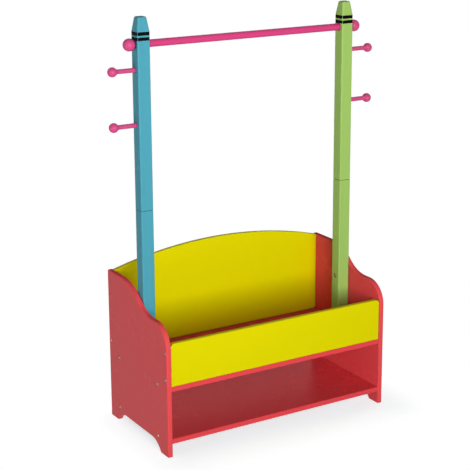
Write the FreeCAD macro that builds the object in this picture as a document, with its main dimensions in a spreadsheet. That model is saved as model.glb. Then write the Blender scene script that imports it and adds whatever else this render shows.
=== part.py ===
import FreeCAD, Part
import math
import os
import re
import Sketcher

# Children's wardrobe: a clothes rail on two posts that stand in a toy box, with an open shelf below.
# Millimetres, +Z up, front towards -Y. The origin is on the floor, in the middle of the cabinet.

# Driving dimensions
SIZES = {
    # cabinet
    "cabinet_width": 736,
    "cabinet_depth": 356,
    "board_thickness": 15,
    "panel_inset": 3,
    "side_edge_round": 3.5,
    "panel_edge_round": 2.5,
    # outline of a side panel
    "side_back_height": 452,
    "back_corner_radius": 5,
    "crest_radius": 165,
    "hollow_radius": 110,
    "shoulder_drop": 72,
    "shoulder_flat": 24,
    "shoulder_radius": 68,
    "foot_length": 47,
    "arch_height": 27.5,
    "arch_radius": 61,
    # toy box and shelf
    "shelf_height": 36,
    "box_bottom_height": 190,
    "front_panel_height": 125,
    "front_corner_radius": 12,
    "back_panel_drop": 1,
    "back_panel_rise": 48,
    # posts
    "post_size": 38,
    "post_edge_round": 4,
    "post_joint_height": 667,
    "post_joint_chamfer": 1.2,
    "post_top_height": 1200,
    "tip_height": 40,
    "tip_size": 27,
    "tip_edge_round": 6.5,
    "tip_rim_round": 5,
    # rail, knobs and pegs
    "rail_drop": 74,
    "rail_diameter": 21,
    "knob_diameter": 35,
    "knob_seat_diameter": 14,
    "upper_peg_drop": 143,
    "lower_peg_drop": 294,
    "peg_reach": 81.5,
    "peg_shaft_diameter": 13,
    "peg_ball_diameter": 27,
    "peg_cove_radius": 8,
    # connecting screws with hexagon sockets
    "screw_head_diameter": 12.5,
    "screw_head_height": 2.6,
    "screw_head_stand": 1.2,
    "screw_head_round": 0.7,
    "screw_head_clearance": 0.6,
    "screw_diameter": 5,
    "screw_length": 48,
    "post_screw_sink": 0.8,
    "post_screw_cover": 4,
    "socket_width": 5,
    "socket_depth": 1.8,
    # places of the screws
    "board_screw_spacing": 234,
    "front_screw_rise": 20.5,
    "front_screw_spacing": 77,
    "back_screw_rise": 30,
    "post_screw_rise": 30,
    "post_screw_drop": 15,
    # dowels
    "dowel_diameter": 8,
    "dowel_length": 30,
    "dowel_cover": 5,
    "front_dowel_spacing": 360,
    "back_dowel_drop": 50,
    # studs and threaded sleeves
    "stud_diameter": 8,
    "sleeve_diameter": 12,
    "sleeve_length": 22,
    "sleeve_sink": 0.5,
    "joint_stud_length": 60,
    "rail_stud_depth": 32,
    "knob_stud_depth": 20,
    "peg_stud_diameter": 6,
    "peg_stud_length": 50,
    "peg_stud_seat": 26,
    # fits
    "fit_gap": 0.15,
    "hole_end_gap": 1,
}

# Places that many pieces share, as formulas of the sizes
OUTER_FACE = "(-cabinet_width / 2)"
INNER_FACE = "(board_thickness - cabinet_width / 2)"
POST_AXIS = "(board_thickness + post_size / 2 - cabinet_width / 2)"
POST_INNER_FACE = "(board_thickness + post_size - cabinet_width / 2)"
INNER_WIDTH = "(cabinet_width - 2 * board_thickness)"
BOARD_DEPTH = "(cabinet_depth - 2 * panel_inset)"
FRONT_PANEL_MIDDLE = "(panel_inset + board_thickness / 2 - cabinet_depth / 2)"
BACK_PANEL_MIDDLE = "(cabinet_depth / 2 - panel_inset - board_thickness / 2)"
BOX_FLOOR = "(box_bottom_height + board_thickness)"
SHOULDER_HEIGHT = "(side_back_height - shoulder_drop)"
BACK_PANEL_TOP = "(side_back_height - back_panel_drop)"
TIP_BASE = "(post_top_height - tip_height)"
RAIL_HEIGHT = "(post_top_height - rail_drop)"
UPPER_PEG_HEIGHT = "(post_top_height - upper_peg_drop)"
LOWER_PEG_HEIGHT = "(post_top_height - lower_peg_drop)"
HEAD_RECESS = "(screw_head_height - screw_head_stand)"
POST_HEAD_RECESS = "(post_screw_sink + screw_head_height)"
SCREW_TIP = f"({HEAD_RECESS} + screw_length)"
POST_SCREW_TIP = "(post_size + board_thickness - post_screw_cover)"
DOWEL_SEAT_LENGTH = "(board_thickness - dowel_cover)"

# How a sketch numbers an edge's points and its own axes
START, END, CENTRE = range(1, 4)
X_AXIS, Y_AXIS = range(-1, -3, -1)
ORIGIN = (X_AXIS, START)
TINY = 1e-6
Vector = FreeCAD.Vector

document = FreeCAD.newDocument("KidsWardrobe")
sheet = document.addObject("Spreadsheet::Sheet", "Dimensions")
for row, (size_name, size_value) in enumerate(SIZES.items(), start=1):
    sheet.set(f"A{row}", size_name)
    sheet.set(f"B{row}", str(size_value))
    sheet.setAlias(f"B{row}", size_name)
document.recompute()


# Sizes and formulas
def formula(words):
    """The formula with each size name turned into a reference to its cell."""
    return re.sub(r"[a-z_]+", lambda m: "Dimensions." + m[0] if m[0] in SIZES else m[0], words)


def number(words):
    """The value of a formula now."""
    return float(sheet.evalExpression(formula(words)))


def bind(thing, property_name, words):
    """Tie a property to a formula of the sizes."""
    thing.setExpression(property_name, formula(words))


# Bodies and sketches
def new_body(label):
    """An empty body that may hold several separate solids."""
    body = document.addObject("PartDesign::Body", label)
    body.AllowCompound = True
    return body


def origin_part(body, role):
    """A plane or an axis of the body's own origin."""
    return next(part for part in body.Origin.OriginFeatures if part.Role == role)


def new_sketch(body, plane, at=("0", "0", "0"), turn=0):
    """A sketch on one of the body's planes, with its origin moved to a place and turned in the plane."""
    x, y, z = at
    along_plane = {"XY_Plane": (x, y, z), "XZ_Plane": (x, z, f"-({y})"), "YZ_Plane": (y, z, x)}[plane]
    sketch = body.newObject("Sketcher::SketchObject", f"{body.Label}_outline")
    sketch.AttachmentSupport = [(origin_part(body, plane), "")]
    sketch.MapMode = "FlatFace"
    sketch.AttachmentOffset = FreeCAD.Placement(Vector(), FreeCAD.Rotation(Vector(0, 0, 1), turn))
    for letter, words in zip("xyz", along_plane):
        bind(sketch, f"AttachmentOffset.Base.{letter}", words)
    return sketch


def line(start, end):
    """A straight edge between two points of a sketch."""
    return Part.LineSegment(Vector(*start), Vector(*end))


def arc(centre, radius, first, last):
    """An arc from one angle to a larger one, in degrees."""
    circle = Part.Circle(Vector(*centre), Vector(0, 0, 1), radius)
    return Part.ArcOfCircle(circle, math.radians(first), math.radians(last))


def end_direction(edge, end):
    """The direction of an edge at its start or its end."""
    return edge.tangent(edge.FirstParameter if end == START else edge.LastParameter)[0]


def draw(sketch, edges, keep_straight=True):
    """Draw a closed outline: edges join, smoothly where drawn so, and keep to the axes they follow."""
    marks = [sketch.addGeometry(edge) for edge in edges]
    for place, mark in enumerate(marks):
        following = (place + 1) % len(marks)
        other = marks[following]
        meetings = [(sketch.getPoint(mark, a).distanceToPoint(sketch.getPoint(other, b)), a, b)
                    for a in (START, END) for b in (START, END)]
        _, a, b = min(meetings)
        turn = end_direction(edges[place], a).cross(end_direction(edges[following], b)).Length
        kind = "Tangent" if turn < TINY else "Coincident"
        sketch.addConstraint(Sketcher.Constraint(kind, mark, a, other, b))
    for mark, edge in zip(marks, edges):
        if not keep_straight or not isinstance(edge, Part.LineSegment):
            continue
        run = edge.EndPoint - edge.StartPoint
        if abs(run.y) < TINY:
            sketch.addConstraint(Sketcher.Constraint("Horizontal", mark))
        elif abs(run.x) < TINY:
            sketch.addConstraint(Sketcher.Constraint("Vertical", mark))
    return marks


def size(sketch, kind, place, words):
    """A dimension of a sketch, tied to a formula of the sizes."""
    index = sketch.addConstraint(Sketcher.Constraint(kind, *place, number(words)))
    name = f"size_{index}"
    sketch.renameConstraint(index, name)
    bind(sketch, f"Constraints.{name}", words)


def pad(body, sketch, length, backwards=False):
    """Thicken a sketch into a board or a bar."""
    feature = body.newObject("PartDesign::Pad", f"{body.Label}_pad")
    feature.Profile = sketch
    feature.Reversed = backwards
    bind(feature, "Length", length)
    document.recompute()
    return feature


def round_edges(body, kind, size_property, chosen, words):
    """Fillet or chamfer the edges of the body that a test on their bounding boxes chooses."""
    base = body.Tip
    edges = enumerate(base.Shape.Edges, start=1)
    names = [f"Edge{place}" for place, edge in edges if chosen(edge.BoundBox)]
    feature = body.newObject(f"PartDesign::{kind}", f"{body.Label}_{kind.lower()}")
    feature.Base = (base, names)
    bind(feature, size_property, words)
    document.recompute()


def fillet(body, chosen, words):
    """Round the chosen edges of a body."""
    round_edges(body, "Fillet", "Radius", chosen, words)


def lies_at(low, high, words):
    """Whether an edge's extent along one axis is only at the given place."""
    place = number(words)
    return abs(low - place) < TINY and abs(high - place) < TINY


# Turned shapes: screws, studs, dowels, sleeves and the holes for them
DIRECTIONS = {"+X": ("XY_Plane", 0), "-X": ("XY_Plane", 180), "+Z": ("XZ_Plane", 90)}


def stepped_outline(sketch, steps, bore):
    """Half the section of a stepped round bar along the sketch's X axis: steps of length and radius."""
    inside = number(bore)
    ends = [0.0]
    for length, _ in steps:
        ends.append(ends[-1] + number(length))
    edges = [line((0, inside), (ends[-1], inside))]
    corner = (ends[-1], inside)
    for place in reversed(range(len(steps))):
        radius = number(steps[place][1])
        edges.append(line(corner, (ends[place + 1], radius)))
        edges.append(line((ends[place + 1], radius), (ends[place], radius)))
        corner = (ends[place], radius)
    edges.append(line(corner, (0, inside)))
    marks = draw(sketch, edges)
    sketch.addConstraint(Sketcher.Constraint("PointOnObject", marks[0], START, Y_AXIS))
    if inside:
        size(sketch, "DistanceY", (*ORIGIN, marks[0], START), bore)
    else:
        sketch.addConstraint(Sketcher.Constraint("PointOnObject", marks[0], START, X_AXIS))
    for place, (length, radius) in enumerate(reversed(steps)):
        top = marks[2 + 2 * place]
        size(sketch, "DistanceX", (top, END, top, START), length)
        size(sketch, "DistanceY", (*ORIGIN, top, START), radius)


def spin(body, sketch, cut=False):
    """Turn a half section round the sketch's X axis, adding to the body or cutting it."""
    kind = "Groove" if cut else "Revolution"
    feature = body.newObject(f"PartDesign::{kind}", f"{body.Label}_{kind.lower()}")
    feature.Profile = sketch
    feature.ReferenceAxis = (sketch, ["H_Axis"])
    feature.Angle = 360
    document.recompute()
    return feature


def turned(body, direction, at, steps, bore="0", cut=False):
    """A stepped round bar, or the hole for one, that starts at a place and runs in a direction."""
    plane, turn = DIRECTIONS[direction]
    sketch = new_sketch(body, plane, at, turn)
    stepped_outline(sketch, steps, bore)
    return spin(body, sketch, cut)


def drill(body, direction, at, *steps):
    """A round hole with stepped width."""
    return turned(body, direction, at, steps, cut=True)


def on_both_sides(body, features=()):
    """Repeat features, or the whole body, on the other side of the cabinet's middle plane."""
    mirror = body.newObject("PartDesign::Mirrored", f"{body.Label}_mirror")
    if features:
        mirror.Originals = list(features)
    else:
        mirror.TransformMode = "Whole shape"
    mirror.MirrorPlane = (origin_part(body, "YZ_Plane"), [""])
    body.Tip = mirror
    document.recompute()


def socket(body, direction, at):
    """A hexagon socket in the head of a screw that points along X or against it."""
    sketch = new_sketch(body, "YZ_Plane", at)
    across_corners = "(socket_width / cos(30 deg) / 2)"
    radius = number(across_corners)
    corners = [(radius * math.sin(math.radians(60 * k)), radius * math.cos(math.radians(60 * k)))
               for k in range(6)]
    edges = [line(a, b) for a, b in zip(corners, corners[1:] + corners[:1])]
    sides = draw(sketch, edges, keep_straight=False)
    guide = sketch.addGeometry(Part.Circle(Vector(), Vector(0, 0, 1), radius), True)
    sketch.addConstraint(Sketcher.Constraint("Coincident", guide, CENTRE, *ORIGIN))
    size(sketch, "Radius", (guide,), across_corners)
    for side in sides:
        sketch.addConstraint(Sketcher.Constraint("PointOnObject", side, START, guide))
        if side != sides[0]:
            sketch.addConstraint(Sketcher.Constraint("Equal", sides[0], side))
    sketch.addConstraint(Sketcher.Constraint("PointOnObject", sides[0], START, Y_AXIS))
    pocket = body.newObject("PartDesign::Pocket", f"{body.Label}_socket")
    pocket.Profile = sketch
    bind(pocket, "Length", "socket_depth")
    pocket.Reversed = direction == "+X"
    document.recompute()


def fasteners(label, direction, at, steps, bore="0", pair=None, with_socket=False):
    """A group of like fasteners: one, or a pair along an axis, repeated on the cabinet's other side."""
    body = new_body(label)
    turned(body, direction, at, steps, bore)
    if with_socket:
        fillet(body, lambda box: lies_at(box.XMin, box.XMax, at[0]), "screw_head_round")
        socket(body, direction, at)
    if pair:
        axis, spacing = pair
        pattern = body.newObject("PartDesign::LinearPattern", f"{label}_pair")
        pattern.TransformMode = "Whole shape"
        pattern.Direction = (origin_part(body, axis), [""])
        bind(pattern, "Length", spacing)
        pattern.Occurrences = 2
        body.Tip = pattern
        document.recompute()
    on_both_sides(body)
    return body


def mirrored_copy(label, source):
    """The same piece for the right side of the cabinet."""
    copy = document.addObject("Part::Mirroring", label)
    copy.Source = source
    copy.Normal = Vector(1, 0, 0)
    return copy


# Rows of holes that the side panels and the boards between them share: height and depth of each
def spread(middle, spacing):
    """Two places around a middle."""
    return [f"{middle} - {spacing} / 2", f"{middle} + {spacing} / 2"]


LOWER_FRONT_SCREW = f"{BOX_FLOOR} + front_screw_rise"
FRONT_SCREW_HEIGHTS = [LOWER_FRONT_SCREW, f"{LOWER_FRONT_SCREW} + front_screw_spacing"]
BACK_SCREW_HEIGHT = f"{BOX_FLOOR} + back_screw_rise"
BOARD_SCREW_DEPTHS = spread("0", "board_screw_spacing")
LOWER_POST_SCREW = f"({BOX_FLOOR} + post_screw_rise)"
UPPER_POST_SCREW = f"({SHOULDER_HEIGHT} - post_screw_drop)"
BACK_DOWEL_HEIGHT = f"{BACK_PANEL_TOP} - back_dowel_drop"
BOX_BOTTOM_MIDDLE = "box_bottom_height + board_thickness / 2"
SHELF_MIDDLE = "shelf_height + board_thickness / 2"

FRONT_SCREWS = [(FRONT_PANEL_MIDDLE, height) for height in FRONT_SCREW_HEIGHTS]
BACK_SCREWS = [(BACK_PANEL_MIDDLE, BACK_SCREW_HEIGHT)]
BOX_BOTTOM_SCREWS = [(depth, BOX_BOTTOM_MIDDLE) for depth in BOARD_SCREW_DEPTHS]
SHELF_SCREWS = [(depth, SHELF_MIDDLE) for depth in BOARD_SCREW_DEPTHS]
POST_SCREWS = [("0", LOWER_POST_SCREW), ("0", UPPER_POST_SCREW)]
BACK_DOWELS = [(BACK_PANEL_MIDDLE, BACK_DOWEL_HEIGHT)]

# Fasteners and the holes for them, as steps of length and radius
SCREW_HOLE_RADIUS = "screw_diameter / 2 + fit_gap"
STUD_HOLE_RADIUS = "stud_diameter / 2 + fit_gap"
PEG_STUD_HOLE_RADIUS = "peg_stud_diameter / 2 + fit_gap"
PEG_HOLE_DEPTH = "peg_stud_length - peg_stud_seat + hole_end_gap"
HEAD_HOLE_RADIUS = "screw_head_diameter / 2 + screw_head_clearance"
SCREW_HEAD_HOLE = (HEAD_RECESS, HEAD_HOLE_RADIUS)
POST_SCREW_HEAD_HOLE = (POST_HEAD_RECESS, HEAD_HOLE_RADIUS)
DOWEL = ("dowel_length", "dowel_diameter / 2")
DOWEL_SEAT_DEPTH = f"({DOWEL_SEAT_LENGTH} + hole_end_gap)"
DOWEL_SEAT = (DOWEL_SEAT_DEPTH, "dowel_diameter / 2 + fit_gap")
DOWEL_HOLE = (f"dowel_length - {DOWEL_SEAT_LENGTH} + hole_end_gap", "dowel_diameter / 2 + fit_gap")
SLEEVE = ("sleeve_length", "sleeve_diameter / 2")
SLEEVE_HOLE = ("sleeve_sink + sleeve_length", "sleeve_diameter / 2 + fit_gap")
JOINT_STUD_HOLE = ("joint_stud_length / 2 - sleeve_sink - sleeve_length + hole_end_gap", STUD_HOLE_RADIUS)
RAIL_STUD_HOLE = ("rail_stud_depth - sleeve_sink - sleeve_length + hole_end_gap", STUD_HOLE_RADIUS)


# Side panels
def side_outline(sketch):
    """Feet and arch, upright back edge, ogee top edge and rounded shoulder; the sketch's X is to the back."""
    front, back = number("-cabinet_depth / 2"), number("cabinet_depth / 2")
    top, shoulder = number("side_back_height"), number(SHOULDER_HEIGHT)
    bend, hollow, crest = number("shoulder_radius"), number("hollow_radius"), number("crest_radius")
    corner, foot = number("back_corner_radius"), number("foot_length")
    rise, arch = number("arch_height"), number("arch_radius")
    bend_end = front + bend
    flat_end = bend_end + number("shoulder_flat")
    turn = math.acos(1 - (top - shoulder) / (crest + hollow))
    turn_degrees = math.degrees(turn)
    crest_end = flat_end + (crest + hollow) * math.sin(turn)
    arch_run = math.sqrt(arch ** 2 - (arch - rise) ** 2)
    arch_angle = math.degrees(math.acos(arch_run / arch))
    arch_end = back - foot - arch_run
    edges = [
        line((front, 0), (front, shoulder - bend)),
        arc((bend_end, shoulder - bend), bend, 90, 180),
        line((bend_end, shoulder), (flat_end, shoulder)),
        arc((flat_end, shoulder + hollow), hollow, -90, turn_degrees - 90),
        arc((crest_end, top - crest), crest, 90, 90 + turn_degrees),
        line((crest_end, top), (back - corner, top)),
        arc((back - corner, top - corner), corner, 0, 90),
        line((back, top - corner), (back, 0)),
        line((back, 0), (back - foot, 0)),
        arc((arch_end, rise - arch), arch, arch_angle, 90),
        line((arch_end, rise), (-arch_end, rise)),
        arc((-arch_end, rise - arch), arch, 90, 180 - arch_angle),
        line((front + foot, 0), (front, 0)),
    ]
    marks = draw(sketch, edges)
    (front_edge, bend_arc, shoulder_line, hollow_arc, crest_arc, top_line, corner_arc,
     back_edge, rear_foot, rear_arch, arch_line, front_arch, front_foot) = marks
    radii = {bend_arc: "shoulder_radius", hollow_arc: "hollow_radius", crest_arc: "crest_radius",
             corner_arc: "back_corner_radius", rear_arch: "arch_radius", front_arch: "arch_radius"}
    for mark, words in radii.items():
        size(sketch, "Radius", (mark,), words)
    for mark in (front_foot, rear_foot):
        sketch.addConstraint(Sketcher.Constraint("PointOnObject", mark, START, X_AXIS))
        size(sketch, "DistanceX", (mark, END, mark, START), "foot_length")
    size(sketch, "DistanceX", (*ORIGIN, front_edge, START), "-cabinet_depth / 2")
    size(sketch, "DistanceX", (*ORIGIN, back_edge, START), "cabinet_depth / 2")
    size(sketch, "DistanceY", (*ORIGIN, shoulder_line, START), SHOULDER_HEIGHT)
    size(sketch, "DistanceX", (shoulder_line, START, shoulder_line, END), "shoulder_flat")
    size(sketch, "DistanceY", (*ORIGIN, top_line, START), "side_back_height")
    size(sketch, "DistanceY", (*ORIGIN, arch_line, START), "arch_height")


def left_side_panel():
    """The left side panel, with rounded edges above the floor and holes for its screws and dowels."""
    body = new_body("left_side_panel")
    sketch = new_sketch(body, "YZ_Plane", (OUTER_FACE, "0", "0"))
    side_outline(sketch)
    pad(body, sketch, "board_thickness")

    def on_a_face_above_the_floor(box):
        on_face = lies_at(box.XMin, box.XMax, OUTER_FACE) or lies_at(box.XMin, box.XMax, INNER_FACE)
        return on_face and box.ZMax > TINY

    fillet(body, on_a_face_above_the_floor, "side_edge_round")
    for depth, height in FRONT_SCREWS + BACK_SCREWS + BOX_BOTTOM_SCREWS + SHELF_SCREWS:
        drill(body, "+X", (OUTER_FACE, depth, height), SCREW_HEAD_HOLE,
              ("board_thickness", SCREW_HOLE_RADIUS))
    for depth, height in BACK_DOWELS:
        drill(body, "-X", (INNER_FACE, depth, height), DOWEL_SEAT)
    tip_in_panel = f"{POST_SCREW_TIP} - post_size + hole_end_gap"
    for depth, height in POST_SCREWS:
        drill(body, "-X", (INNER_FACE, depth, height), (tip_in_panel, SCREW_HOLE_RADIUS))
    return body


# Boards between the side panels
def screw_ends(body, places):
    """Holes for connecting screws in both ends of a board."""
    depth_in_board = f"{SCREW_TIP} - board_thickness + hole_end_gap"
    holes = [drill(body, "+X", (INNER_FACE, depth, height), (depth_in_board, SCREW_HOLE_RADIUS))
             for depth, height in places]
    on_both_sides(body, holes)


def dowel_ends(body, places):
    """Holes for dowels in both ends of a board."""
    holes = [drill(body, "+X", (INNER_FACE, depth, height), DOWEL_HOLE) for depth, height in places]
    on_both_sides(body, holes)


def flat_board(label, height, screws):
    """A level board with rounded front and back edges."""
    body = new_body(label)
    sketch = new_sketch(body, "XY_Plane", ("0", "0", height))
    x, y = number(INNER_WIDTH) / 2, number(BOARD_DEPTH) / 2
    front, right, _, _ = draw(sketch, [line((-x, -y), (x, -y)), line((x, -y), (x, y)),
                                       line((x, y), (-x, y)), line((-x, y), (-x, -y))])
    size(sketch, "DistanceX", (*ORIGIN, front, START), f"-{INNER_WIDTH} / 2")
    size(sketch, "DistanceY", (*ORIGIN, front, START), f"-{BOARD_DEPTH} / 2")
    size(sketch, "DistanceX", (front, START, front, END), INNER_WIDTH)
    size(sketch, "DistanceY", (right, START, right, END), BOARD_DEPTH)
    pad(body, sketch, "board_thickness")
    fillet(body, lambda box: box.YLength < TINY and box.ZLength < TINY, "panel_edge_round")
    screw_ends(body, screws)
    return body


def upright_outline(sketch, foot, height, top_edges):
    """Foot and sides of an upright panel, closed at the top by the given edges from right to left."""
    x, bottom = number(INNER_WIDTH) / 2, number(foot)
    side_end = bottom + number(height)
    edges = [line((-x, bottom), (x, bottom)), line((x, bottom), (x, side_end)),
             *top_edges, line((-x, side_end), (-x, bottom))]
    marks = draw(sketch, edges)
    size(sketch, "DistanceX", (*ORIGIN, marks[0], START), f"-{INNER_WIDTH} / 2")
    size(sketch, "DistanceY", (*ORIGIN, marks[0], START), foot)
    size(sketch, "DistanceX", (marks[0], START, marks[0], END), INNER_WIDTH)
    size(sketch, "DistanceY", (marks[1], START, marks[1], END), height)
    return marks


def upright_panel(label, face, outline):
    """A panel between the side panels, thickened backwards from its front face, with rounded long edges."""
    body = new_body(label)
    sketch = new_sketch(body, "XZ_Plane", ("0", face, "0"))
    outline(sketch)
    pad(body, sketch, "board_thickness", backwards=True)
    fillet(body, lambda box: box.YLength < TINY and box.XLength > TINY, "panel_edge_round")
    return body


def front_outline(sketch):
    """A panel with two rounded top corners."""
    x, radius = number(INNER_WIDTH) / 2, number("front_corner_radius")
    top = number(f"{BOX_FLOOR} + front_panel_height")
    inner, side_end = x - radius, top - radius
    top_edges = [arc((inner, side_end), radius, 0, 90), line((inner, top), (-inner, top)),
                 arc((-inner, side_end), radius, 90, 180)]
    marks = upright_outline(sketch, BOX_FLOOR, "front_panel_height - front_corner_radius", top_edges)
    for mark in (marks[2], marks[4]):
        size(sketch, "Radius", (mark,), "front_corner_radius")


def back_outline(sketch):
    """A panel whose top edge rises in one arc to the middle."""
    half, rise = number(INNER_WIDTH) / 2, number("back_panel_rise")
    side_end, height = number(BACK_PANEL_TOP), f"{BACK_PANEL_TOP} - {BOX_FLOOR}"
    bow = f"(({INNER_WIDTH} / 2) ^ 2 + back_panel_rise ^ 2) / (2 * back_panel_rise)"
    radius = number(bow)
    swing = math.degrees(math.asin(half / radius))
    top_edges = [arc((0, side_end + rise - radius), radius, 90 - swing, 90 + swing)]
    marks = upright_outline(sketch, BOX_FLOOR, height, top_edges)
    size(sketch, "DistanceY", (marks[3], END, marks[3], START), height)
    size(sketch, "Radius", (marks[2],), bow)


FRONT_FACE = "(panel_inset - cabinet_depth / 2)"
BACK_PANEL_FACE = "(cabinet_depth / 2 - panel_inset - board_thickness)"


def box_front_panel():
    """The low front of the toy box, on two dowels in the box bottom."""
    body = upright_panel("box_front_panel", FRONT_FACE, front_outline)
    screw_ends(body, FRONT_SCREWS)
    hole = drill(body, "+Z", ("-front_dowel_spacing / 2", FRONT_PANEL_MIDDLE, BOX_FLOOR), DOWEL_HOLE)
    on_both_sides(body, [hole])
    return body


def box_back_panel():
    """The back of the toy box, arched at the top."""
    body = upright_panel("box_back_panel", BACK_PANEL_FACE, back_outline)
    screw_ends(body, BACK_SCREWS)
    dowel_ends(body, BACK_DOWELS)
    return body


def box_bottom():
    """The floor of the toy box, with seats for the dowels of the front panel and the posts."""
    body = flat_board("box_bottom", "box_bottom_height", BOX_BOTTOM_SCREWS)
    seats = [("-front_dowel_spacing / 2", FRONT_PANEL_MIDDLE), (POST_AXIS, "0")]
    holes = [drill(body, "+Z", (x, y, f"{BOX_FLOOR} - {DOWEL_SEAT_DEPTH}"), DOWEL_SEAT) for x, y in seats]
    on_both_sides(body, holes)
    return body


# Posts
def post_section(body, height, width, rounding):
    """A sketch of the post's square section with rounded corners, at a height."""
    sketch = new_sketch(body, "XY_Plane", (POST_AXIS, "0", height))
    half, radius = number(width) / 2, number(rounding)
    flat = half - radius
    edges = [
        line((-flat, -half), (flat, -half)), arc((flat, -flat), radius, -90, 0),
        line((half, -flat), (half, flat)), arc((flat, flat), radius, 0, 90),
        line((flat, half), (-flat, half)), arc((-flat, flat), radius, 90, 180),
        line((-half, flat), (-half, -flat)), arc((-flat, -flat), radius, 180, 270),
    ]
    marks = draw(sketch, edges)
    length = f"({width} - 2 * {rounding})"
    size(sketch, "DistanceX", (*ORIGIN, marks[0], START), f"-{length} / 2")
    size(sketch, "DistanceY", (*ORIGIN, marks[2], START), f"-{length} / 2")
    size(sketch, "DistanceX", (marks[0], START, marks[0], END), length)
    size(sketch, "DistanceY", (marks[2], START, marks[2], END), length)
    for mark in marks[1::2]:
        size(sketch, "Radius", (mark,), rounding)
    return sketch


def chamfer_joint(body):
    """Break the edges where the two sections of a post meet."""
    round_edges(body, "Chamfer", "Size", lambda box: lies_at(box.ZMin, box.ZMax, "post_joint_height"),
                "post_joint_chamfer")


def left_post_lower():
    """The lower section: dowel hole at the foot, screw holes to the side panel, sleeve hole at the top."""
    body = new_body("left_post_lower")
    section = post_section(body, BOX_FLOOR, "post_size", "post_edge_round")
    pad(body, section, f"post_joint_height - {BOX_FLOOR}")
    chamfer_joint(body)
    drill(body, "+Z", (POST_AXIS, "0", BOX_FLOOR), DOWEL_HOLE)
    for depth, height in POST_SCREWS:
        drill(body, "-X", (POST_INNER_FACE, depth, height), POST_SCREW_HEAD_HOLE,
              ("post_size", SCREW_HOLE_RADIUS))
    hole_foot = "post_joint_height - joint_stud_length / 2 - hole_end_gap"
    drill(body, "+Z", (POST_AXIS, "0", hole_foot), JOINT_STUD_HOLE, SLEEVE_HOLE)
    return body


def left_post_upper():
    """The upper section: sleeve hole at its foot, tapered tip, holes for the rail stud and the pegs."""
    body = new_body("left_post_upper")
    section = post_section(body, "post_joint_height", "post_size", "post_edge_round")
    pad(body, section, f"{TIP_BASE} - post_joint_height")
    chamfer_joint(body)
    tip = body.newObject("PartDesign::AdditiveLoft", "left_post_tip")
    tip.Profile = post_section(body, TIP_BASE, "post_size", "post_edge_round")
    tip.Sections = [post_section(body, "post_top_height", "tip_size", "tip_edge_round")]
    tip.Ruled = True
    document.recompute()
    fillet(body, lambda box: lies_at(box.ZMin, box.ZMax, "post_top_height"), "tip_rim_round")
    drill(body, "+Z", (POST_AXIS, "0", "post_joint_height"), SLEEVE_HOLE, JOINT_STUD_HOLE)
    drill(body, "+X", (INNER_FACE, "0", RAIL_HEIGHT), ("post_size", STUD_HOLE_RADIUS))
    for height in (UPPER_PEG_HEIGHT, LOWER_PEG_HEIGHT):
        drill(body, "+X", (INNER_FACE, "0", height),
              ("peg_stud_seat + hole_end_gap", PEG_STUD_HOLE_RADIUS))
    return body


# Rail, knobs and pegs
def clothes_rail():
    """The round rail between the posts, with a sleeve hole in each end."""
    body = new_body("clothes_rail")
    left_end = (POST_INNER_FACE, "0", RAIL_HEIGHT)
    turned(body, "+X", left_end, [(f"-2 * {POST_INNER_FACE}", "rail_diameter / 2")])
    hole = drill(body, "+X", left_end, SLEEVE_HOLE, RAIL_STUD_HOLE)
    on_both_sides(body, [hole])
    return body


def left_rail_knob():
    """A ball with a small flat seat against the post and a hole for the stud."""
    body = new_body("left_rail_knob")
    sketch = new_sketch(body, "XY_Plane", (INNER_FACE, "0", RAIL_HEIGHT), turn=180)
    ball, seat = number("knob_diameter / 2"), number("knob_seat_diameter / 2")
    hole, depth = number(STUD_HOLE_RADIUS), number("knob_stud_depth + hole_end_gap")
    middle = math.sqrt(ball ** 2 - seat ** 2)
    first = math.degrees(math.acos(-middle / ball))
    edges = [
        line((0, hole), (0, seat)),
        arc((middle, 0), ball, 0, first),
        line((middle + ball, 0), (depth, 0)),
        line((depth, 0), (depth, hole)),
        line((depth, hole), (0, hole)),
    ]
    face, round_side, axis_line, hole_end, hole_side = draw(sketch, edges)
    sketch.addConstraint(Sketcher.Constraint("PointOnObject", face, START, Y_AXIS))
    sketch.addConstraint(Sketcher.Constraint("PointOnObject", axis_line, START, X_AXIS))
    sketch.addConstraint(Sketcher.Constraint("PointOnObject", round_side, CENTRE, X_AXIS))
    size(sketch, "Radius", (round_side,), "knob_diameter / 2")
    size(sketch, "DistanceY", (*ORIGIN, face, END), "knob_seat_diameter / 2")
    size(sketch, "DistanceY", (hole_end, START, hole_end, END), STUD_HOLE_RADIUS)
    size(sketch, "DistanceX", (hole_side, END, hole_side, START), "knob_stud_depth + hole_end_gap")
    spin(body, sketch)
    return body


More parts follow.
